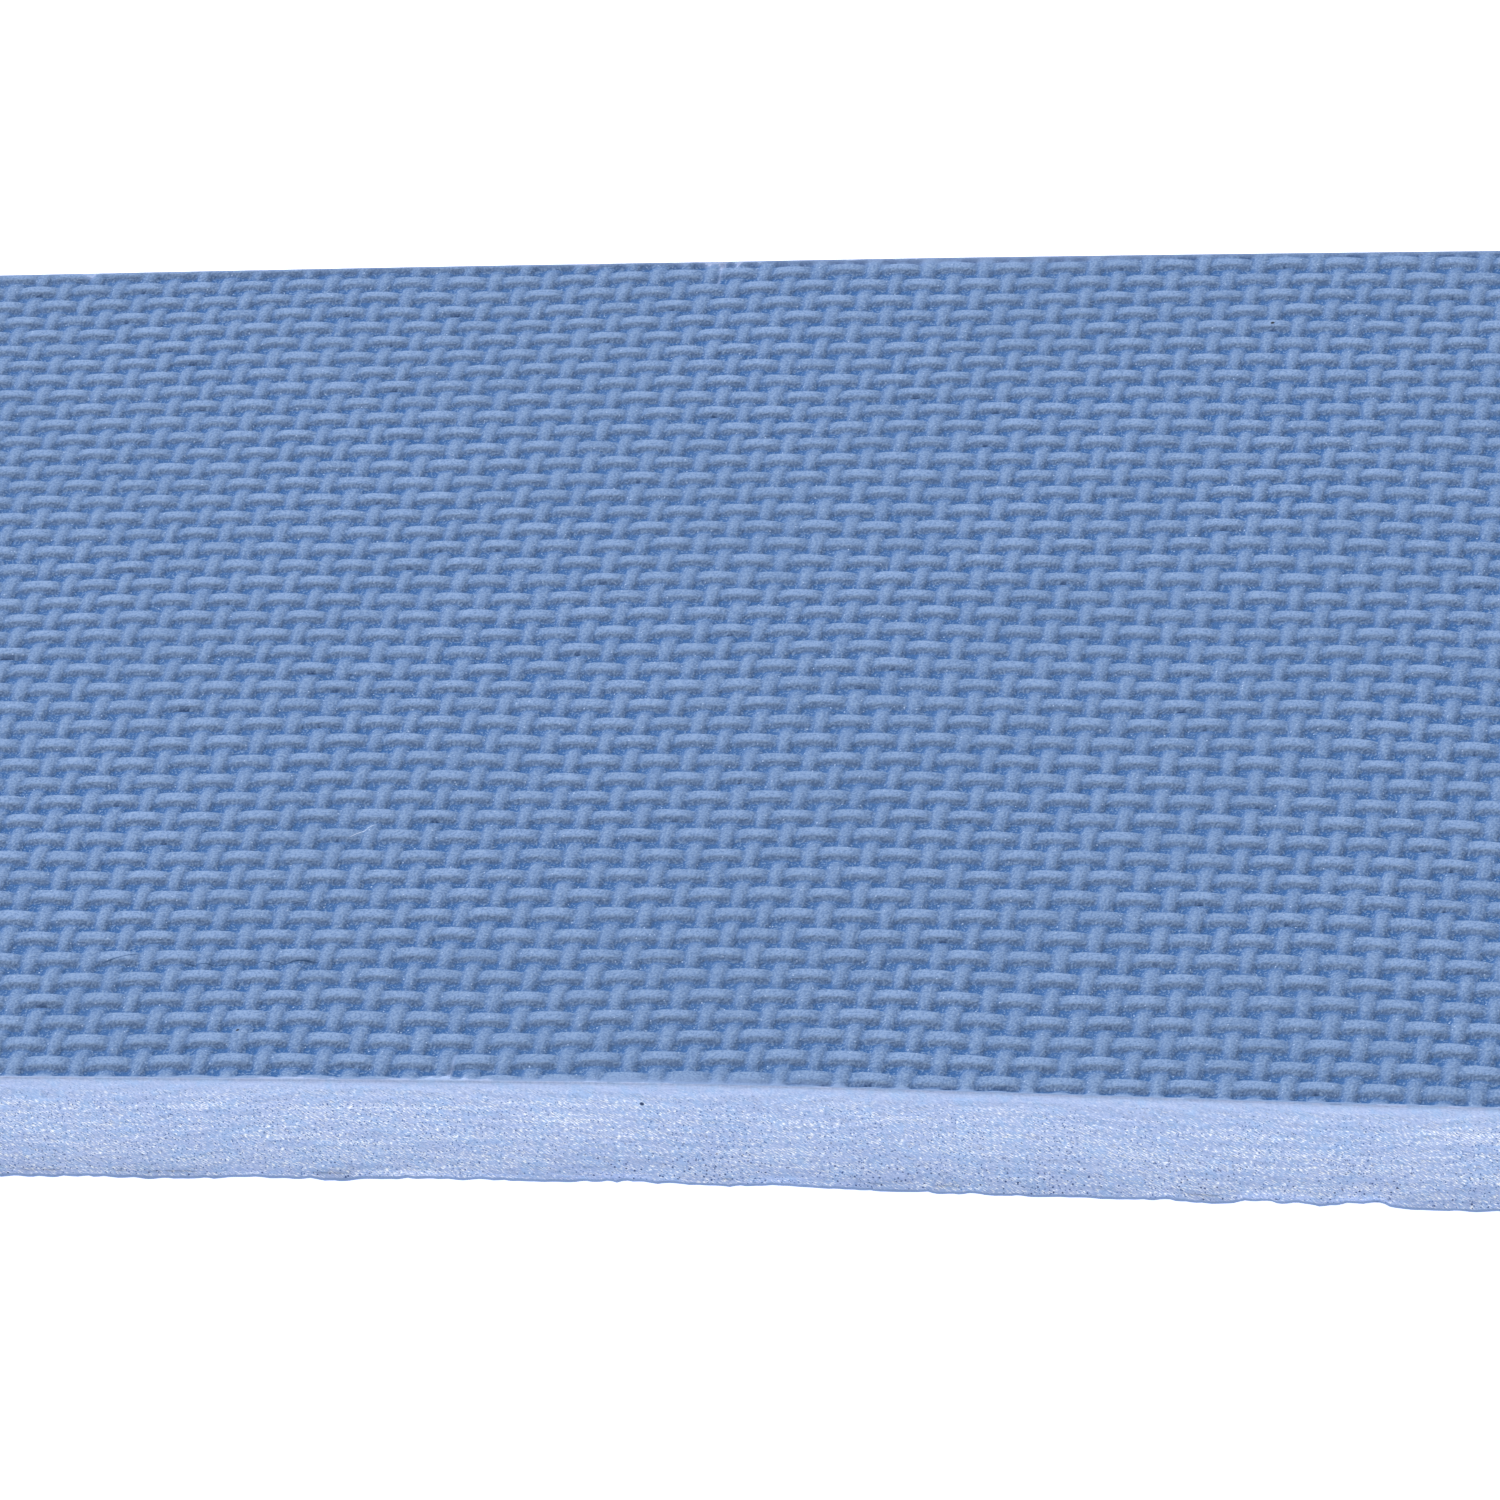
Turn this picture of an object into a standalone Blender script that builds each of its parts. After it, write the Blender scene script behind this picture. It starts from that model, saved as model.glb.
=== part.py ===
"""Balance pad: one slab of closed-cell foam, pressed between two heated weave-pattern plates and cut to size.

The slab has three layers that differ in make: a dense embossed skin on top, the open-cut foam core, and a
dense embossed skin underneath. Each layer is its own solid. Metres, +Z up, origin under the pad's middle.
"""
import bmesh
import bpy

# Driving dimensions of the whole slab.
LENGTH = 0.400
DEPTH = 0.240
THICKNESS = 0.020

# The heat-pressed skins, and how the knife left the corners and the rims.
SKIN = 0.0016
CORNER_RADIUS = 0.003
CORNER_STEPS = 5
RIM_ROUND = 0.0006
RIM_STEPS = 2

# Clearance between touching layers.
GAP = 0.0003

# Foam colours as linear red, green, blue.
SKIN_BLUE = (0.17, 0.25, 0.42, 1.0)
CORE_BLUE = (0.43, 0.53, 0.79, 1.0)

for old in list(bpy.data.objects):
    bpy.data.objects.remove(old, do_unlink=True)

pad = bpy.data.collections.new("balance_pad")
bpy.context.scene.collection.children.link(pad)


def foam_material(name, colour, roughness):
    """Matt foam: a Principled shader with one colour and one roughness."""
    material = bpy.data.materials.new(name)
    material.use_nodes = True
    shader = material.node_tree.nodes["Principled BSDF"]
    shader.inputs["Base Color"].default_value = colour
    shader.inputs["Roughness"].default_value = roughness
    shader.inputs["Metallic"].default_value = 0.0
    return material


def runs_upright(edge):
    """True for an edge that joins a layer's lower face to its upper one."""
    low, high = edge.verts
    return abs(low.co.z - high.co.z) > 0.5 * SKIN


def lies_at(edge, height):
    """True for an edge whose two ends are at this height."""
    return all(abs(vertex.co.z - height) < GAP / 10 for vertex in edge.verts)


def layer(name, low, high, material, rim_height=None):
    """A slab layer from low to high: a box with rounded upright corners, and a softened rim at rim_height."""
    mesh = bpy.data.meshes.new(name)
    shape = bmesh.new()
    bmesh.ops.create_cube(shape, size=1.0)
    for vertex in shape.verts:
        vertex.co.x *= LENGTH
        vertex.co.y *= DEPTH
        vertex.co.z = high if vertex.co.z > 0 else low
    upright = [edge for edge in shape.edges if runs_upright(edge)]
    bmesh.ops.bevel(
        shape, geom=upright, offset=CORNER_RADIUS, segments=CORNER_STEPS, profile=0.5, affect="EDGES"
    )
    if rim_height is not None:
        rim = [edge for edge in shape.edges if lies_at(edge, rim_height)]
        bmesh.ops.bevel(
            shape, geom=rim, offset=RIM_ROUND, segments=RIM_STEPS, profile=0.5, affect="EDGES"
        )
    bmesh.ops.recalc_face_normals(shape, faces=shape.faces)
    shape.to_mesh(mesh)
    shape.free()
    mesh.materials.append(material)
    piece = bpy.data.objects.new(name, mesh)
    pad.objects.link(piece)
    return piece


skin_material = foam_material("embossed_skin", SKIN_BLUE, 0.55)
core_material = foam_material("cut_core", CORE_BLUE, 0.85)

# Underside skin: the face that lies on the floor, embossed like the top.
layer("base_skin", 0.0, SKIN, skin_material, rim_height=0.0)

# Core: the foam between the skins, whose cut edge shows all round.
layer("foam_core", SKIN + GAP, THICKNESS - SKIN - GAP, core_material)

# Top skin: the face that is stood on.
layer("top_skin", THICKNESS - SKIN, THICKNESS, skin_material, rim_height=THICKNESS)
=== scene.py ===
"""Balance pad: a slab of closed-cell foam with a plain weave pressed into both faces, cut by knife."""

import bpy
import numpy as np
from mathutils import Matrix, Vector


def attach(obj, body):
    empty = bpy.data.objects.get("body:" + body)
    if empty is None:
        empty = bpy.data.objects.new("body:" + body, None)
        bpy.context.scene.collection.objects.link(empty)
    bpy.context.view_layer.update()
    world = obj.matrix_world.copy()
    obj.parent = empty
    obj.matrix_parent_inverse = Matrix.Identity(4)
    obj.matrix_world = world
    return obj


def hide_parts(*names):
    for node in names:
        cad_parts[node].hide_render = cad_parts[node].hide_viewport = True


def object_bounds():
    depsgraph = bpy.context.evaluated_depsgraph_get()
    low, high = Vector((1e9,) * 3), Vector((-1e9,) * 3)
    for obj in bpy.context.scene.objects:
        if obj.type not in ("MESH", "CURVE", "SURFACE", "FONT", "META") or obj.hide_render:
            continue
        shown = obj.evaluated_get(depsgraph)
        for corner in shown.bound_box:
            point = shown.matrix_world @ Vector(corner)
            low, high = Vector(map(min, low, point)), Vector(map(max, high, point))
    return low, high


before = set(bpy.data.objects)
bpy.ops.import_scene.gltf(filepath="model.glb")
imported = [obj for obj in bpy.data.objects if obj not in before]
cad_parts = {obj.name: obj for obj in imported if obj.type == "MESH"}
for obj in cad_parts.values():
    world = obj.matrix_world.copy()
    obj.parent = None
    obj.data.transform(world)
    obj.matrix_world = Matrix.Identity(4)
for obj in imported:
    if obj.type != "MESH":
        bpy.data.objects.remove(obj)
cad_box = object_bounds()
LOW, HIGH = (np.array(corner) for corner in cad_box)
MM = 0.001


# ---------------------------------------------------------------------------------------------------------
# The knife cut. A long blade parts the slab from a larger foam plate and leaves four upright faces.
# The front cut runs straight and then turns outward, and the lower edge is torn where the blade leaves.
# ---------------------------------------------------------------------------------------------------------
HALF_LENGTH = HIGH[0]
HALF_DEPTH = HIGH[1]
CORNER = 2.0 * MM
FRONT_SETBACK = 2.1 * MM
FRONT_TURN = 0.0415
TURN_PLACE = 25 * MM
TURN_LENGTH = 30 * MM
SIDE_SWAY = 0.5 * MM
SIDE_SWAY_LENGTH = 131 * MM
BACK_SETBACK = 0.6 * MM
BACK_BOW = 0.9 * MM
VIEWED_HALF_LENGTH = 150 * MM
FRONT_LEVELS = 1.1
BACK_LEVELS = 1.2
TORN_STEP = 0.8 * MM
TORN_STEP_ENDS = (108 * MM, 131 * MM)
TORN_STEP_RAMPS = (2.5 * MM, 2 * MM)
TORN_HEIGHT = 2.6 * MM
TORN_FULLY = 0.2 * MM
TORN_WIDTH = 1.5 * MM
TEAR_SPACING = 1.3 * MM
SLOW_TEAR = 0.34 * MM
SLOW_TEAR_EVERY = 6
FINE_TEAR = 0.20 * MM
TEAR_PLACES = np.arange(-HALF_LENGTH, HALF_LENGTH, TEAR_SPACING)
knife = np.random.default_rng(11)
slow_places = TEAR_PLACES[::SLOW_TEAR_EVERY]
slow_tear = np.interp(TEAR_PLACES, slow_places, knife.normal(0, SLOW_TEAR, len(slow_places)))
TEAR = slow_tear + knife.normal(0, FINE_TEAR, len(TEAR_PLACES))


def levelled(value, limit):
    """The value itself while it is small, levelling off at the limit: v / (1 + |v / limit|^8)^(1/8)."""
    return value / (1 + np.abs(value / limit) ** 8) ** 0.125


def smooth_step(value, low, high):
    """0 below low, 1 above high, and the cubic 3t^2 - 2t^3 between them."""
    t = np.clip((value - low) / (high - low), 0, 1)
    return t * t * (3 - 2 * t)


def front_shift(x):
    """How far the front cut lies behind its nominal line.

    It is a hyperbola's bend between two straight runs, t + sqrt(t^2 + w^2), level on the left and slanting
    on the right, and it levels off again beyond the viewed half length.
    """
    t = levelled(x / VIEWED_HALF_LENGTH, FRONT_LEVELS) * VIEWED_HALF_LENGTH - TURN_PLACE
    return FRONT_SETBACK - FRONT_TURN * (t + np.sqrt(t**2 + TURN_LENGTH**2)) / 2


def torn_share(z):
    """How much of the torn edge shows at this height: all of it at the bottom, none above TORN_HEIGHT."""
    return 1 - smooth_step(z, TORN_FULLY, TORN_HEIGHT)


def outline(x, y, torn=0.0):
    """Carries points of the nominal rectangle to the slab as it is cut.

    A square at each corner is pressed to a quarter disc, (a sqrt(1 - b^2 / 2), b sqrt(1 - a^2 / 2)). Then
    the front is moved by front_shift, fading to nothing at the back, the back bows, and the ends sway.
    Where the edge is torn, a strip TORN_WIDTH wide also moves in and out with the random line of the tear.
    """
    strip_x = np.sign(x) * np.clip((np.abs(x) - HALF_LENGTH) / TORN_WIDTH + 1, 0, 1)
    strip_y = np.sign(y) * np.clip((np.abs(y) - HALF_DEPTH) / TORN_WIDTH + 1, 0, 1)
    tear_x = torn * strip_x * np.interp(y * np.sign(x), TEAR_PLACES, TEAR)
    tear_y = torn * strip_y * np.interp(x * np.sign(y), TEAR_PLACES, TEAR)
    start, end = TORN_STEP_ENDS
    rise, fall = TORN_STEP_RAMPS
    step = smooth_step(x, start, start + rise) * (1 - smooth_step(x, end, end + fall))
    tear_y += torn * np.clip(-strip_y, 0, 1) * TORN_STEP * step
    a = np.clip((np.abs(x) - (HALF_LENGTH - CORNER)) / CORNER, 0, 1)
    b = np.clip((np.abs(y) - (HALF_DEPTH - CORNER)) / CORNER, 0, 1)
    x = x + np.sign(x) * CORNER * a * (np.sqrt(1 - b**2 / 2) - 1)
    y = y + np.sign(y) * CORNER * b * (np.sqrt(1 - a**2 / 2) - 1)
    y = y + front_shift(x) * (0.5 - y / (2 * HALF_DEPTH))
    bow = BACK_BOW * (1 - levelled(x / VIEWED_HALF_LENGTH, BACK_LEVELS) ** 2) - BACK_SETBACK
    y = y + bow * (0.5 + y / (2 * HALF_DEPTH)) ** 4
    x = x + SIDE_SWAY * np.sin(2 * np.pi * y / SIDE_SWAY_LENGTH + np.sign(x)) * (x / HALF_LENGTH) ** 4
    return x + tear_x, y + tear_y


# ---------------------------------------------------------------------------------------------------------
# The pressed weave. Heated plates stamp a plain weave into the foam: warp pills that run front to back
# and weft bars that run along the pad take turns on top, with square pits between them.
# ---------------------------------------------------------------------------------------------------------
WARP_PITCH = 4.94 * MM
WEFT_PITCH = 5.20 * MM
RELIEF = 0.95 * MM
PILL_HEIGHT = 0.86
PILL_HALF_WIDTH = 0.32
PILL_REACH = 0.78
PILL_FORWARD = 0.05
PILL_WAIST = 0.3
PILL_TAPER = 0.25
PILL_POWERS = (2.5, 2.0)
BAR_HALF_WIDTH = 0.30
BAR_REACH = 0.84
BAR_FORWARD = 0.02
BAR_SLANT = 0.05
BAR_POWERS = (5.0, 3.0)
JOIN = 0.06
HIGHEST = 1.08
WEAVE_LEVELS = 1.3
WARP_START = 0.04
WEFT_START = -0.04
WAVER = 0.04
UNEVEN = 0.045
rng = np.random.default_rng(7)
waver_waves = rng.uniform(-1, 1, (8, 2)) * 2 * np.pi / (45 * MM)
waver_phases = rng.uniform(0, 2 * np.pi, (2, 8))
pressing = rng.normal(0, UNEVEN, (3, 128, 128))


def waver(x, y, which):
    """Small local wander of the threads, in pitches: a sum of eight sine waves of mixed direction."""
    total = np.zeros_like(x)
    for wave, phase in zip(waver_waves, waver_phases[which]):
        total += np.sin(wave[0] * x + wave[1] * y + phase)
    return WAVER * total / 2


def thread_counts(x, y):
    """Warp and weft threads counted from the pad's middle, after the weave's slow drift in the press.

    The drift is a cubic in the place along the pad (a) and across it (b), so the rows bow and fan a little.
    """
    a = levelled(x / VIEWED_HALF_LENGTH, WEAVE_LEVELS)
    b = y / HALF_DEPTH
    warp_drift = MM * (0.72 * b**2 + 0.6 * a * b - 0.64 * a**2 + 0.5 * a**3 - 0.5 * a * b**2)
    weft_drift = MM * (2.8 * a * b**2 - 2.5 * (a**2 + b**2) - 1.7 * a**3 + 0.4 * a**2 * b)
    across = (x - warp_drift) / WARP_PITCH + WARP_START + waver(x, y, 0)
    along = -(y - weft_drift) / WEFT_PITCH + WEFT_START + waver(x, y, 1)
    return across, along


def firmness(column, row):
    """How much higher, wider and further over than usual the float on top at this crossing is, at random."""
    return pressing[:, np.round(column).astype(int) % 128, np.round(row).astype(int) % 128]


def rounded(distance, reach, power):
    """A flat-topped hump, 1 in the middle and 0 beyond its reach r: (1 - |d / r|^p)^0.7."""
    return np.clip(1 - np.abs(distance / reach) ** power, 0, 1) ** 0.7


def weave(x, y):
    """Height of the pressed weave, 0 in a pit and about 1 on a crest: the higher of warp and weft.

    Each float is a hump across times a hump along its run, centred where it lies on top: the bar is level
    and slants a little, the pill is an arch that narrows to the front. Each is pressed a little differently.
    """
    across, along = thread_counts(x, y)
    column, row = np.round(across), np.round(along)
    run = (along - column + 1) % 2 - 1
    high, wide, over = firmness(column, along - run)
    run = run - PILL_FORWARD
    width = PILL_HALF_WIDTH * (1 - PILL_WAIST * run**2 - PILL_TAPER * run) * (1 + wide)
    pill = PILL_HEIGHT * (1 + high) * rounded(across - column + over / 2, width, PILL_POWERS[0])
    pill *= rounded(run, PILL_REACH, PILL_POWERS[1])
    run = (across - row) % 2 - 1
    high, wide, over = firmness(across - run, row)
    width = BAR_HALF_WIDTH * (1 + wide)
    middle = row + BAR_FORWARD + BAR_SLANT * run - over / 2
    bar = (1 + high) * rounded(along - middle, width, BAR_POWERS[0])
    bar *= rounded(run, BAR_REACH, BAR_POWERS[1])
    return np.clip((pill + bar + np.sqrt((pill - bar) ** 2 + JOIN**2) - JOIN) / 2, 0, HIGHEST)


# ---------------------------------------------------------------------------------------------------------
# Common mesh work for the three foam layers: grid lines that crowd towards the cut, the ring of points
# round the cut, and one writer that turns whole arrays into a mesh.
# ---------------------------------------------------------------------------------------------------------
RIM_LINES = np.array([0.0, 0.12, 0.28, 0.5, 0.8]) * MM
CUT_ROUGH = 0.05 * MM
SHARP_ANGLE = np.radians(80)


def grid_lines(half, step):
    """Places of the grid lines from -half to half: evenly spaced inside, closer together at both rims."""
    inner = half - RIM_LINES[-1] - step
    count = int(round(2 * inner / step))
    middle = np.linspace(-inner, inner, count + 1)
    rim = half - RIM_LINES
    return np.concatenate([-rim, middle, rim[::-1]])


def ring_of(columns, rows):
    """Grid places of the rim, once round it against the clock, for a grid of columns x rows points."""
    bottom = np.stack([np.arange(columns - 1), np.zeros(columns - 1, int)])
    right = np.stack([np.full(rows - 1, columns - 1), np.arange(rows - 1)])
    top = np.stack([np.arange(columns - 1, 0, -1), np.full(columns - 1, rows - 1)])
    left = np.stack([np.zeros(rows - 1, int), np.arange(rows - 1, 0, -1)])
    return np.concatenate([bottom, right, top, left], axis=1)


def outward(x, y):
    """Unit normals of a closed ring that runs against the clock: its tangent turned to the right."""
    tangent = np.stack([np.roll(x, -1) - np.roll(x, 1), np.roll(y, -1) - np.roll(y, 1)])
    tangent /= np.linalg.norm(tangent, axis=0)
    return tangent[1], -tangent[0]


def quads_between(first, second):
    """Quads that join two closed rings of vertex numbers, the first above the second, faces outward."""
    return np.stack([first, second, np.roll(second, -1), np.roll(first, -1)], axis=1)


def solid(name, points, quads, triangles, attributes):
    """A mesh object from whole arrays, shaded smooth but for edges sharper than SHARP_ANGLE."""
    mesh = bpy.data.meshes.new(name)
    corners = np.concatenate([quads.ravel(), triangles.ravel()]).astype(np.int32)
    starts = np.concatenate([np.arange(len(quads)) * 4, len(quads) * 4 + np.arange(len(triangles)) * 3])
    mesh.vertices.add(len(points))
    mesh.vertices.foreach_set("co", points.astype(np.float32).ravel())
    mesh.loops.add(len(corners))
    mesh.loops.foreach_set("vertex_index", corners)
    mesh.polygons.add(len(starts))
    mesh.polygons.foreach_set("loop_start", starts.astype(np.int32))
    mesh.polygons.foreach_set("use_smooth", np.arange(len(starts)) < len(quads))
    for title, values in attributes.items():
        layer = mesh.attributes.new(title, "FLOAT", "POINT")
        layer.data.foreach_set("value", values.astype(np.float32))
    mesh.update(calc_edges=True)
    mesh.validate()
    mesh.set_sharp_from_angle(angle=SHARP_ANGLE)
    piece = bpy.data.objects.new(name, mesh)
    bpy.context.scene.collection.objects.link(piece)
    return piece


# ---------------------------------------------------------------------------------------------------------
# The skins. The press seals both faces of the plate to a dense closed skin under 2 mm thick. The crests
# are paler and the pits deep blue: partly because the crests' cells stay open inside and the pits are
# pressed to a film, and partly painted shade and painted bounce light in the pits.
# ---------------------------------------------------------------------------------------------------------
SEAM_HEIGHT = 1.75 * MM
RIM_ROUND = 0.22 * MM
RIM_PRESS = 1.5 * MM
RIM_CREST = 0.95
SWELL = 0.25 * MM
SWELL_LENGTH = 95 * MM
SMEAR = 1.2 * MM
SMEAR_PLACE = 30 * MM
SMEAR_LENGTH = 28 * MM
SMEAR_MORE = 1.4
# Slope at which the painted shade on flanks facing away from the lamp is full.
FLANK_SHADE_SLOPE = 0.9
BASE_RELIEF_SHARE = 0.75
BASE_CUT_SHARE = 0.84
GRAIN = MM / 2.6
MOTTLE = MM / 0.42
CLOUD = MM / 0.03
STREAK_LENGTH = MM / 0.07
STREAK_HEIGHT = MM / 0.85
STROKE_LENGTH = 0.75 * MM
STROKE_WIDTH = 0.18 * MM
STROKE_SLANT = 32
BUMP_DEPTH = 0.3 * MM
CREASE_WAVE = 0.18 * MM
CREASE_WAVE_LENGTH = 7 * MM
# Lines drawn on the skin: the three dark ones are painted shade of fine creases that have no relief, the
# last a short pale line.
CREASES = (
    ((-57.5 * MM, -87.7 * MM), 6 * MM, 0.0, "#35557F"),
    ((-45.4 * MM, -87.0 * MM), 6 * MM, 0.07, "#35557F"),
    ((-73.2 * MM, -86.6 * MM), 3 * MM, 0.3, "#35557F"),
    ((-41.0 * MM, -52.0 * MM), 2 * MM, 1.0, "#C2D2EE"),
)


def rim_radius(x):
    """Radius of the rounded rim: twice as wide on the left as on the right."""
    return RIM_ROUND * (2 - smooth_step(x, -20 * MM, 30 * MM))


def face_drop(x, y, nominal_x, nominal_y, relief):
    """How far the skin lies below the crests' plane, and the weave's height there.

    It is the relief, a slow swell, and at the rim a quarter round, wider on the left. The knife has smeared
    the skin at the rim, so the pits are filled there to a narrow bead, which gives way to the weave.
    """
    edge = np.minimum(HALF_LENGTH - np.abs(nominal_x), HALF_DEPTH - np.abs(nominal_y))
    kept = smooth_step(edge, 0.15 * RIM_PRESS, RIM_PRESS)
    height = RIM_CREST + (weave(x, y) - RIM_CREST) * kept
    radius = rim_radius(x)
    inside = np.clip(radius - edge, 0, radius)
    rounding = radius - np.sqrt(radius**2 - inside**2)
    swell = SWELL * (1 - np.sin(2 * np.pi * (x + 0.6 * y) / SWELL_LENGTH) * np.cos(y / (40 * MM))) / 2
    swell = swell * smooth_step(edge, 0, SWELL_LENGTH / 5)
    return (1 - height) * relief + rounding + swell, height


def cut_offset(x, y, z):
    """How far the cut face stands out from its line: fine tearing, as a sum of waves 1.2 to 3.3 mm long.

    The factors are waves in radians per metre. Two slow waves round the pad keep the rows from repeating.
    """
    tear = np.sin(x * 5100 + z * 1900) * np.sin(y * 4700 - z * 2300)
    return CUT_ROUGH * (tear + 0.7 * np.sin(z * 2900 + 11 * np.sin(x * 61) + 9 * np.sin(y * 53)))


def skin(name, step, upper):
    """One embossed skin: a fine grid for the pressed face, a short cut wall and a flat hidden back."""
    lines_x = grid_lines(HALF_LENGTH, step)
    lines_y = grid_lines(HALF_DEPTH, step)
    nominal_x, nominal_y = np.meshgrid(lines_x, lines_y, indexing="ij")
    x, y = outline(nominal_x, nominal_y, torn=0.0 if upper else 1.0)
    relief = RELIEF if upper else BASE_RELIEF_SHARE * RELIEF
    drop, crest = face_drop(x, y, nominal_x, nominal_y, relief)
    columns, rows = x.shape
    ring = ring_of(columns, rows)
    ring_x, ring_y = x[ring[0], ring[1]], y[ring[0], ring[1]]
    normal_x, normal_y = outward(ring_x, ring_y)
    ring_drop = drop[ring[0], ring[1]]
    walls = []
    for share_down in (0.35, 0.7, 1.0):
        depth = ring_drop + (SEAM_HEIGHT - ring_drop) * share_down
        z = HIGH[2] - depth if upper else depth
        wall_x, wall_y = outline(nominal_x[ring[0], ring[1]], nominal_y[ring[0], ring[1]], torn_share(z))
        bulge = cut_offset(ring_x, ring_y, z)
        walls.append(np.stack([wall_x + normal_x * bulge, wall_y + normal_y * bulge, depth], axis=1))
    face = np.stack([x.ravel(), y.ravel(), drop.ravel()], axis=1)
    middle = np.array([[0, 0, SEAM_HEIGHT]])
    points = np.concatenate([face, *walls, middle])
    points[:, 2] = HIGH[2] - points[:, 2] if upper else LOW[2] + points[:, 2]
    number = np.arange(columns * rows).reshape(columns, rows)
    quads = [
        np.stack(
            [number[:-1, :-1], number[1:, :-1], number[1:, 1:], number[:-1, 1:]], axis=-1
        ).reshape(-1, 4)
    ]
    rings = [number[ring[0], ring[1]]]
    rings += [columns * rows + k * len(ring_x) + np.arange(len(ring_x)) for k in range(len(walls))]
    quads += [quads_between(first, second) for first, second in zip(rings, rings[1:])]
    quads = np.concatenate(quads)
    last = rings[-1]
    triangles = np.stack([np.full(len(last), len(points) - 1), np.roll(last, -1), last], axis=1)
    if not upper:
        quads, triangles = quads[:, ::-1], triangles[:, ::-1]
    edge = np.minimum(HALF_LENGTH - np.abs(nominal_x), HALF_DEPTH - np.abs(nominal_y))
    worn = SMEAR * (1 + SMEAR_MORE * np.exp(-(((x - SMEAR_PLACE) / SMEAR_LENGTH) ** 2)))
    # The cut's colour creeps over the rim with the tear. Known fault: where the tear is past -1 mm, near
    # x = 156 mm, the factor is negative, and the column has the cut's colour over the whole depth.
    ragged = edge * (1 + np.interp(x, TEAR_PLACES, TEAR) / MM)
    on_rim = 1 - smooth_step(ragged / rim_radius(x), 0.8, 1.3)
    cut = np.maximum(1 - smooth_step(edge / worn, -0.2, 1), on_rim)
    if not upper:
        cut = BASE_CUT_SHARE * cut
    # Painted shade: slopes that face forward and to the right, away from the lamp behind on the left, get a
    # grey tint.
    forward = -np.gradient(drop, axis=1) / np.gradient(y, axis=1)
    rightward = np.gradient(drop, axis=0) / np.gradient(x, axis=0)
    facing_from_lamp = np.clip((forward + rightward / 2) / FLANK_SHADE_SLOPE, 0, 1)
    flank_shade = facing_from_lamp * smooth_step(edge, 0.3 * RIM_PRESS, RIM_PRESS)
    wall_count = len(ring_x) * len(walls) + 1
    attributes = {
        "crest": np.concatenate([crest.ravel(), np.full(wall_count, RIM_CREST)]),
        "cut": np.concatenate([cut.ravel(), np.ones(wall_count)]),
        "flank_shade": np.concatenate([flank_shade.ravel(), np.zeros(wall_count)]),
    }
    return solid(name, points, quads, triangles, attributes)


def linear(code):
    """An sRGB hex colour as linear red, green, blue and alpha."""
    values = np.array([int(code[k : k + 2], 16) / 255 for k in (1, 3, 5)])
    values = np.where(values <= 0.04045, values / 12.92, ((values + 0.055) / 1.055) ** 2.4)
    return (*values.tolist(), 1.0)


def add_node(tree, kind, settings=None, inputs=None):
    """Adds a shader node. Settings are its own properties; an input takes a value, or a socket to link."""
    node = tree.nodes.new("ShaderNode" + kind)
    for name, value in (settings or {}).items():
        setattr(node, name, value)
    for name, value in (inputs or {}).items():
        if isinstance(value, bpy.types.NodeSocket):
            tree.links.new(value, node.inputs[name])
        else:
            node.inputs[name].default_value = value
    return node


def mixed(tree, share, first, second):
    """The colour between first and second at this share."""
    node = add_node(tree, "Mix", {"data_type": "RGBA"}, {0: share, 6: first, 7: second})
    return node.outputs[2]


def strokes_place(tree, place):
    """Coordinates for short slanted strokes on the cut: 1 is a stroke's length along it, its width across.

    The way round the pad is x + y, which holds on all four cut faces.
    """
    slant = np.radians(STROKE_SLANT)
    way = np.array([np.cos(slant), np.cos(slant), -np.sin(slant)]) / STROKE_LENGTH
    side = np.array([np.sin(slant), np.sin(slant), np.cos(slant)]) / STROKE_WIDTH
    along = add_node(tree, "VectorMath", {"operation": "DOT_PRODUCT"}, {0: place, 1: tuple(way.tolist())})
    across = add_node(tree, "VectorMath", {"operation": "DOT_PRODUCT"}, {0: place, 1: tuple(side.tolist())})
    both = add_node(tree, "CombineXYZ", None, {0: along.outputs["Value"], 1: across.outputs["Value"]})
    return both.outputs[0]


def share(tree, value, low, high, most=1.0):
    """A share from 0 to most as the value climbs from low to high."""
    ends = {"Value": value, "From Min": low, "From Max": high, "To Max": most}
    return add_node(tree, "MapRange", None, ends).outputs[0]


def multiply_add(tree, first, second, third):
    """The value first x second + third, each of them a number or a socket."""
    return add_node(tree, "Math", {"operation": "MULTIPLY_ADD"}, {0: first, 1: second, 2: third}).outputs[0]


def dots(tree, place, pitch, radius, chosen):
    """Round spots of this radius, one to a cell of this pitch where its random grey is below chosen."""
    cells = add_node(tree, "TexVoronoi", None, {"Vector": place, "Scale": 1 / pitch})
    spot = share(tree, cells.outputs["Distance"], radius / pitch, 0.7 * radius / pitch)
    picked = add_node(tree, "Math", {"operation": "LESS_THAN"}, {0: cells.outputs["Color"], 1: chosen})
    return multiply_add(tree, spot, picked.outputs[0], 0.0)


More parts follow.
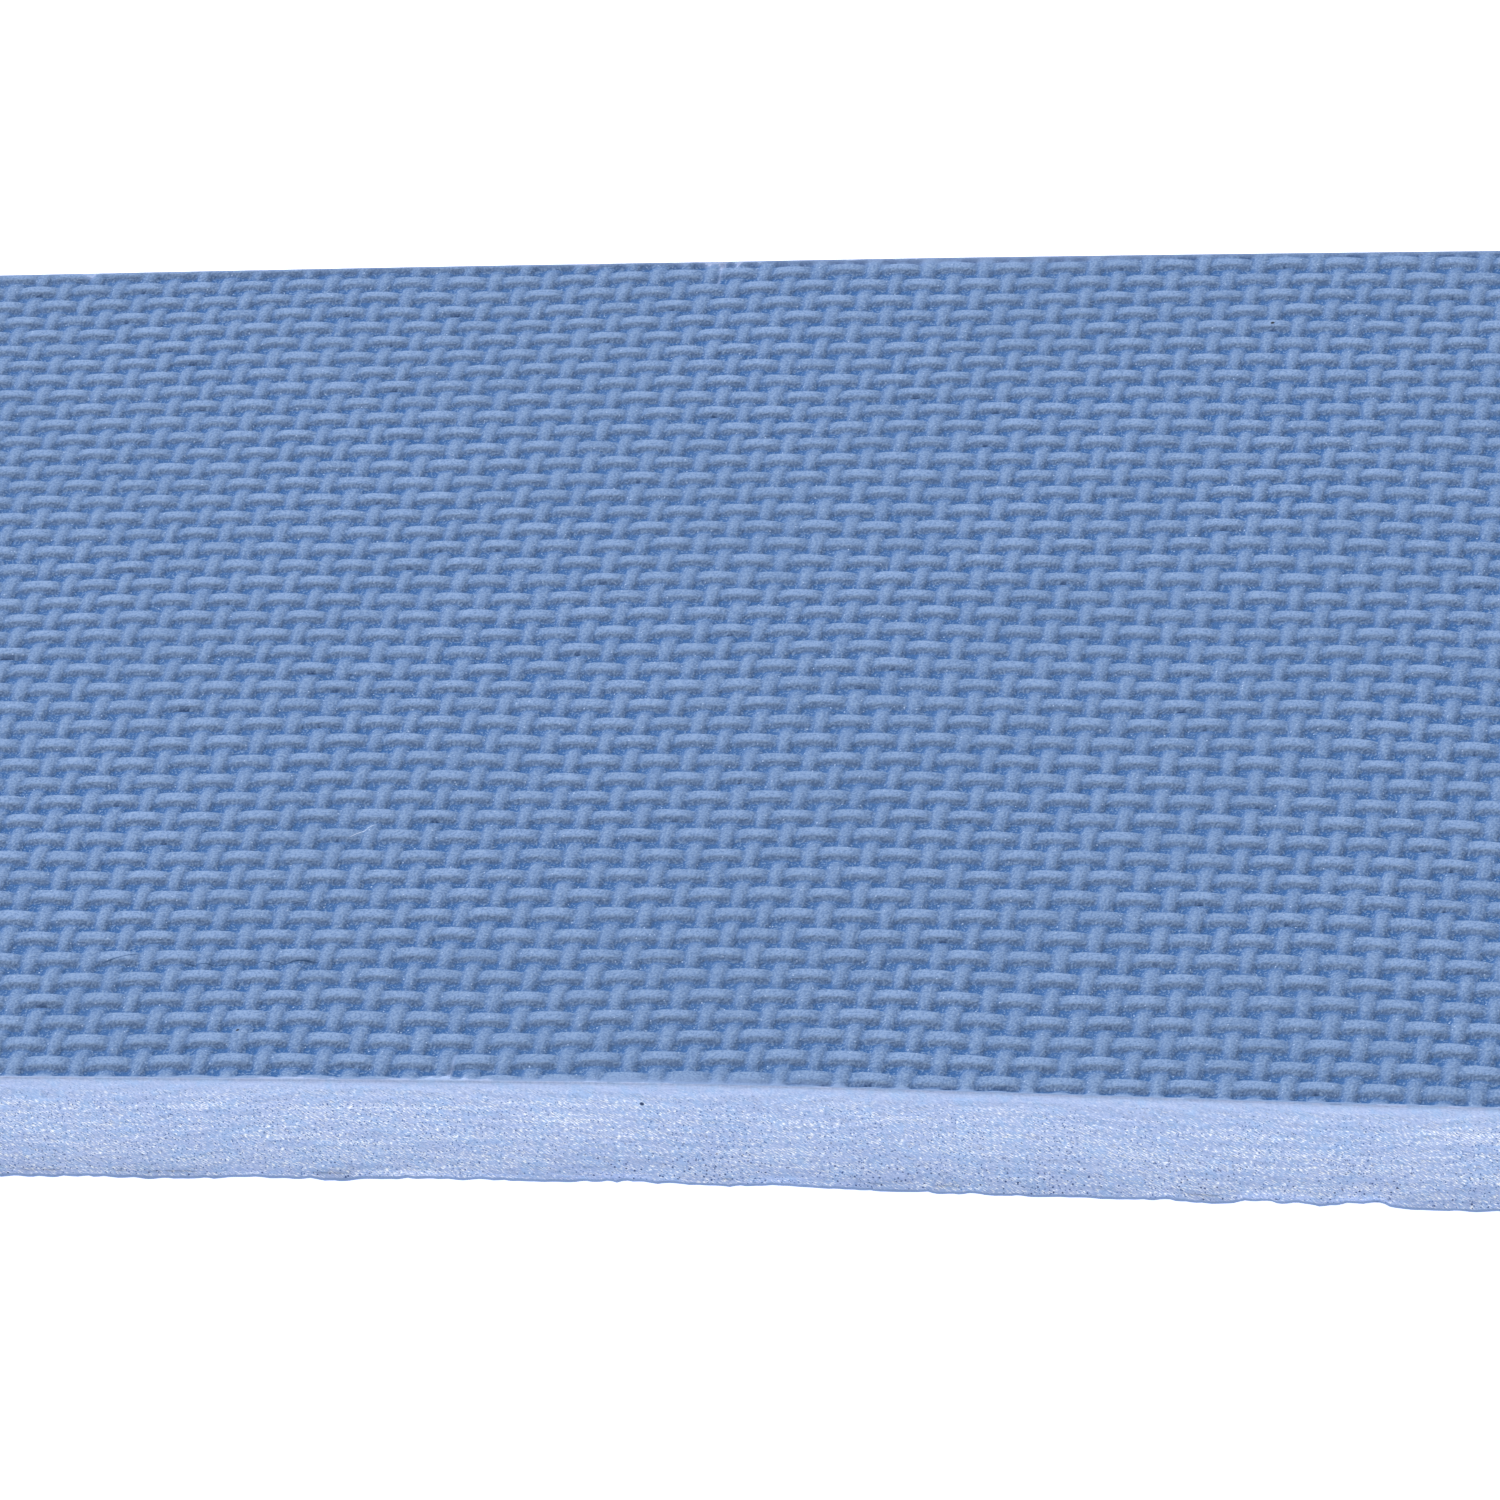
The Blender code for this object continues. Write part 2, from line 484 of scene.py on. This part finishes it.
def crease(tree, place, middle, half_length, slope):
    """A fine crease in the skin: 1 on a wavy line through middle that runs to the right and forward.

    It is the distance in y from a line of this slope through middle plus a sine wave, under 0.15 mm, and it
    ends half_length to either side.
    """
    parts = add_node(tree, "SeparateXYZ", None, {0: place}).outputs
    along = multiply_add(tree, parts["X"], 1.0, -middle[0])
    turn = multiply_add(tree, along, 2 * np.pi / CREASE_WAVE_LENGTH, 0.0)
    wave = add_node(tree, "Math", {"operation": "SINE"}, {0: turn})
    line = multiply_add(tree, along, slope, middle[1])
    line = multiply_add(tree, wave.outputs[0], CREASE_WAVE, line)
    apart = add_node(tree, "Math", {"operation": "SUBTRACT"}, {0: parts["Y"], 1: line}).outputs[0]
    apart = add_node(tree, "Math", {"operation": "ABSOLUTE"}, {0: apart}).outputs[0]
    reach = add_node(tree, "Math", {"operation": "ABSOLUTE"}, {0: along}).outputs[0]
    ends = share(tree, reach, half_length, 0.6 * half_length)
    return multiply_add(tree, share(tree, apart, 0.15 * MM, 0.05 * MM), ends, 0.0)


def cut_foam_colour(tree, place):
    """Colour of knife-cut closed-cell foam: pale where cell walls scatter light, specked with painted shade
    of open cells.

    The blade leaves short slanted strokes in faint level rows, stronger towards the bottom. They are painted
    pale
    and dark: partly their own tone, partly painted highlight and shade of their relief. The shade inside
    opened cells is painted as small blue specks, and inside a few larger bubbles as navy dots.
    """
    height = add_node(tree, "SeparateXYZ", None, {0: place}).outputs["Z"]
    lower = share(tree, height, 20 * MM, 15 * MM)
    lowest = share(tree, height, 15 * MM, 3 * MM)
    fine = add_node(tree, "TexNoise", None, {"Vector": place, "Scale": 1 / GRAIN, "Detail": 1.0}).outputs[0]
    soft = add_node(tree, "TexNoise", None, {"Vector": place, "Scale": 1 / MOTTLE, "Detail": 2.0}).outputs[0]
    colour = mixed(tree, share(tree, fine, 0.35, 0.65), linear("#9AAFDA"), linear("#ADBFE4"))
    colour = mixed(tree, share(tree, soft, 0.5, 0.65, 0.35), colour, linear("#AFBCE2"))
    colour = mixed(tree, share(tree, soft, 0.5, 0.35, 0.5), colour, linear("#98B8E4"))
    strokes = add_node(
        tree, "TexNoise", None, {"Vector": strokes_place(tree, place), "Scale": 1.0, "Detail": 1.0}
    )
    streaks = (1 / STREAK_LENGTH, 1 / STREAK_LENGTH, 1 / STREAK_HEIGHT)
    rows = add_node(tree, "Mapping", None, {"Vector": place, "Scale": streaks})
    rows = add_node(tree, "TexNoise", None, {"Vector": rows.outputs[0], "Scale": 1.0, "Detail": 1.0})
    tick = multiply_add(tree, rows.outputs[0], 0.22, strokes.outputs[0])
    # Painted highlight and shade: the strokes' pale and dark ticks are partly their own tone, partly the
    # light and shade of their relief.
    pale = multiply_add(tree, share(tree, tick, 0.68, 0.77), lower, 0.0)
    colour = mixed(tree, pale, colour, linear("#F4F8FF"))
    dark = multiply_add(tree, share(tree, tick, 0.56, 0.46, 0.55), lower, 0.0)
    colour = mixed(tree, dark, colour, linear("#7893CC"))
    # Painted shade: the shade inside opened cells and larger bubbles is painted as blue specks and navy
    # dots.
    small = multiply_add(tree, dots(tree, place, 0.6 * MM, 0.15 * MM, 0.6), lower, 0.0)
    colour = mixed(tree, small, colour, linear("#4F6EAA"))
    middling = multiply_add(tree, dots(tree, place, 0.9 * MM, 0.20 * MM, 0.6), lowest, 0.0)
    colour = mixed(tree, middling, colour, linear("#2E4A84"))
    return mixed(tree, dots(tree, place, 8 * MM, 0.42 * MM, 0.3), colour, linear("#1E3560"))


def pressed_skin_material():
    """Embossed EVA foam skin: a satin film from the plates, deep blue in the pits, greyed on the crests.

    The pits' deep blue is partly painted shade and bounce light. The highest crests are paler with painted
    highlight, slopes that face away from the lamp are greyed with painted shade, and pale dots are painted
    glints.
    """
    material = bpy.data.materials.new("pressed_eva_foam_skin")
    material.use_nodes = True
    tree = material.node_tree
    shader = tree.nodes["Principled BSDF"]
    place = add_node(tree, "TexCoord").outputs["Object"]
    crest = add_node(tree, "Attribute", {"attribute_name": "crest"}).outputs["Fac"]
    cut = add_node(tree, "Attribute", {"attribute_name": "cut"}).outputs["Fac"]
    grain = add_node(tree, "TexNoise", None, {"Vector": place, "Scale": 1 / GRAIN, "Detail": 2.0})
    cloud = add_node(tree, "TexNoise", None, {"Vector": place, "Scale": 1 / CLOUD, "Detail": 2.0})
    flank_shade = add_node(tree, "Attribute", {"attribute_name": "flank_shade"}).outputs["Fac"]
    # Partly painted shade: the pits' deep blue is partly the pressed film's colour, partly painted shade and
    # bounce light.
    blue = mixed(tree, share(tree, crest, 0.1, 0.8), linear("#1C5695"), linear("#728DB8"))
    # Painted highlight: the highest crests are paler.
    blue = mixed(tree, share(tree, crest, 0.87, 0.96), blue, linear("#7F9AC6"))
    # Painted shade: slopes that face away from the lamp are tinted grey.
    blue = mixed(tree, share(tree, flank_shade, 0.1, 0.8, 0.4), blue, linear("#7A8EAC"))
    blue = mixed(tree, share(tree, grain.outputs[0], 0.5, 0.66, 0.6), blue, linear("#8FA8CA"))
    blue = mixed(tree, share(tree, grain.outputs[0], 0.5, 0.34, 0.6), blue, linear("#4A6B98"))
    blue = mixed(tree, share(tree, cloud.outputs[0], 0.35, 0.65, 0.15), blue, linear("#5F7CA4"))
    # Painted glints: small pale dots over the skin.
    blue = mixed(tree, dots(tree, place, 0.8 * MM, 0.15 * MM, 0.2), blue, linear("#A9BFE2"))
    blue = mixed(tree, dots(tree, place, 30 * MM, 0.40 * MM, 0.5), blue, linear("#1B2430"))
    # Painted shade: dark crease lines, and one short pale line.
    for middle, half_length, slope, tone in CREASES:
        blue = mixed(tree, crease(tree, place, middle, half_length, slope), blue, linear(tone))
    colour = mixed(tree, share(tree, cut, 0.0, 0.8, 0.85), blue, linear("#8199C4"))
    colour = mixed(tree, share(tree, cut, 0.93, 1.0), colour, cut_foam_colour(tree, place))
    rough = add_node(
        tree, "MapRange", None, {"Value": grain.outputs[0], "To Min": 0.7, "To Max": 0.9}
    )
    strokes = add_node(
        tree, "TexNoise", None, {"Vector": strokes_place(tree, place), "Scale": 1.0, "Detail": 2.0}
    )
    height = add_node(tree, "Mix", None, {0: cut, 2: grain.outputs[0], 3: strokes.outputs[0]})
    bump = add_node(
        tree, "Bump", None, {"Height": height.outputs[0], "Strength": 0.6, "Distance": BUMP_DEPTH}
    )
    tree.links.new(colour, shader.inputs["Base Color"])
    tree.links.new(rough.outputs[0], shader.inputs["Roughness"])
    tree.links.new(bump.outputs[0], shader.inputs["Normal"])
    shader.inputs["IOR"].default_value = 1.48
    shader.inputs["Specular IOR Level"].default_value = 0.25
    return material


skin_finish = pressed_skin_material()

top_skin = skin("pressed_top_skin", WARP_PITCH / 12, upper=True)
top_skin.data.materials.append(skin_finish)
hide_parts("top_skin")
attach(top_skin, "root")

base_skin = skin("pressed_base_skin", WARP_PITCH / 6, upper=False)
base_skin.data.materials.append(skin_finish)
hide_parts("base_skin")
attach(base_skin, "root")


# ---------------------------------------------------------------------------------------------------------
# The core. Between the skins the foam keeps its round closed cells. Only its cut edge shows: the blade has
# opened the cells there and left shallow pits, short slanted strokes and a few larger bubbles.
# ---------------------------------------------------------------------------------------------------------
CORE_ROWS = 42
PIT_SHARE = 0.10
PIT_DEPTH = 0.22 * MM


def foam_core():
    """The core: rings of points round the cut from seam to seam, with a flat hidden face at both ends."""
    lines_x = grid_lines(HALF_LENGTH, WARP_PITCH / 12)
    lines_y = grid_lines(HALF_DEPTH, WARP_PITCH / 12)
    nominal_x, nominal_y = np.meshgrid(lines_x, lines_y, indexing="ij")
    ring = ring_of(*nominal_x.shape)
    nominal_x, nominal_y = nominal_x[ring[0], ring[1]], nominal_y[ring[0], ring[1]]
    normal_x, normal_y = outward(*outline(nominal_x, nominal_y))
    heights = np.linspace(HIGH[2] - SEAM_HEIGHT, LOW[2] + SEAM_HEIGHT, CORE_ROWS)
    cells = np.random.default_rng(3)
    count = len(nominal_x)
    pit = (cells.random((CORE_ROWS, count)) < PIT_SHARE) * cells.uniform(0.3, 1, (CORE_ROWS, count))
    pit[[0, -1]] = 0
    rings = []
    points = []
    for k, z in enumerate(heights):
        ring_x, ring_y = outline(nominal_x, nominal_y, torn_share(z))
        bulge = cut_offset(ring_x, ring_y, z) - PIT_DEPTH * pit[k]
        points.append(np.stack([ring_x + normal_x * bulge, ring_y + normal_y * bulge, np.full(count, z)], 1))
        rings.append(k * count + np.arange(count))
    points.append(np.array([[0, 0, heights[0]], [0, 0, heights[-1]]]))
    points = np.concatenate(points)
    quads = np.concatenate([quads_between(first, second) for first, second in zip(rings, rings[1:])])
    above = np.stack([np.full(count, len(points) - 2), rings[0], np.roll(rings[0], -1)], axis=1)
    below = np.stack([np.full(count, len(points) - 1), np.roll(rings[-1], -1), rings[-1]], axis=1)
    return solid("cut_foam_core", points, quads, np.concatenate([above, below]), {})


def cut_foam_material():
    """Knife-cut closed-cell foam: matt and pale, because every opened cell wall scatters the light."""
    material = bpy.data.materials.new("knife_cut_eva_foam")
    material.use_nodes = True
    tree = material.node_tree
    shader = tree.nodes["Principled BSDF"]
    place = add_node(tree, "TexCoord").outputs["Object"]
    tree.links.new(cut_foam_colour(tree, place), shader.inputs["Base Color"])
    strokes = add_node(
        tree, "TexNoise", None, {"Vector": strokes_place(tree, place), "Scale": 1.0, "Detail": 2.0}
    )
    bump = add_node(
        tree, "Bump", None, {"Height": strokes.outputs[0], "Strength": 0.8, "Distance": BUMP_DEPTH}
    )
    tree.links.new(bump.outputs[0], shader.inputs["Normal"])
    shader.inputs["Roughness"].default_value = 0.85
    shader.inputs["IOR"].default_value = 1.45
    return material


core = foam_core()
core.data.materials.append(cut_foam_material())
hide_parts("foam_core")
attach(core, "root")


# ---------------------------------------------------------------------------------------------------------
# The studio: a pale floor that glows a little, like a light table, one large soft lamp from behind on the
# left, and a pale sky. The camera looks down on the pad with a long lens.
# ---------------------------------------------------------------------------------------------------------
bpy.context.scene.view_settings.view_transform = "Standard"

FLOOR_SIZE = 8
FLOOR_DROP = 0.4 * MM
bpy.ops.mesh.primitive_plane_add(size=FLOOR_SIZE, location=(0, 0, -FLOOR_DROP))
floor = bpy.context.object
floor.name = "studio_floor"
floor_paint = bpy.data.materials.new("pale_floor")
floor_paint.use_nodes = True
floor_shader = floor_paint.node_tree.nodes["Principled BSDF"]
floor_shader.inputs["Base Color"].default_value = linear("#F4F5F7")
floor_shader.inputs["Roughness"].default_value = 0.9
floor_shader.inputs["Emission Color"].default_value = linear("#FFFFFF")
floor_shader.inputs["Emission Strength"].default_value = 0.9
floor.data.materials.append(floor_paint)

sky = bpy.data.worlds.new("studio_sky")
sky.use_nodes = True
sky.node_tree.nodes["Background"].inputs["Color"].default_value = linear("#FFFFFF")
sky.node_tree.nodes["Background"].inputs["Strength"].default_value = 0.5
bpy.context.scene.world = sky


def soft_lamp(name, place, aim, width, power):
    """A square area lamp of this width at place, turned to face the aim."""
    light = bpy.data.lights.new(name, "AREA")
    light.size = width
    light.energy = power
    lamp = bpy.data.objects.new(name, light)
    lamp.location = place
    lamp.rotation_euler = (Vector(aim) - Vector(place)).to_track_quat("-Z", "Y").to_euler()
    bpy.context.scene.collection.objects.link(lamp)


soft_lamp("window_lamp", (-6.5, 5.0, 8.7), (0, 0, 0), 2.6, 1500)

CAMERA_PLACE = Vector((0.3004, -1.0491, 0.7456))
CAMERA_AIM = Vector((0.01935, -0.03027, 0.020))
CAMERA_ROLL = 8.98
CAMERA_LENS = 189.6
lens = bpy.data.cameras.new("camera")
lens.sensor_width = 36
lens.lens = CAMERA_LENS
lens.clip_start = 0.05
lens.clip_end = 50
camera = bpy.data.objects.new("camera", lens)
level = (CAMERA_AIM - CAMERA_PLACE).to_track_quat("-Z", "Y").to_matrix().to_4x4()
roll = Matrix.Rotation(-np.radians(CAMERA_ROLL), 4, "Z")
camera.matrix_world = Matrix.Translation(CAMERA_PLACE) @ level @ roll
bpy.context.scene.collection.objects.link(camera)
bpy.context.scene.camera = camera
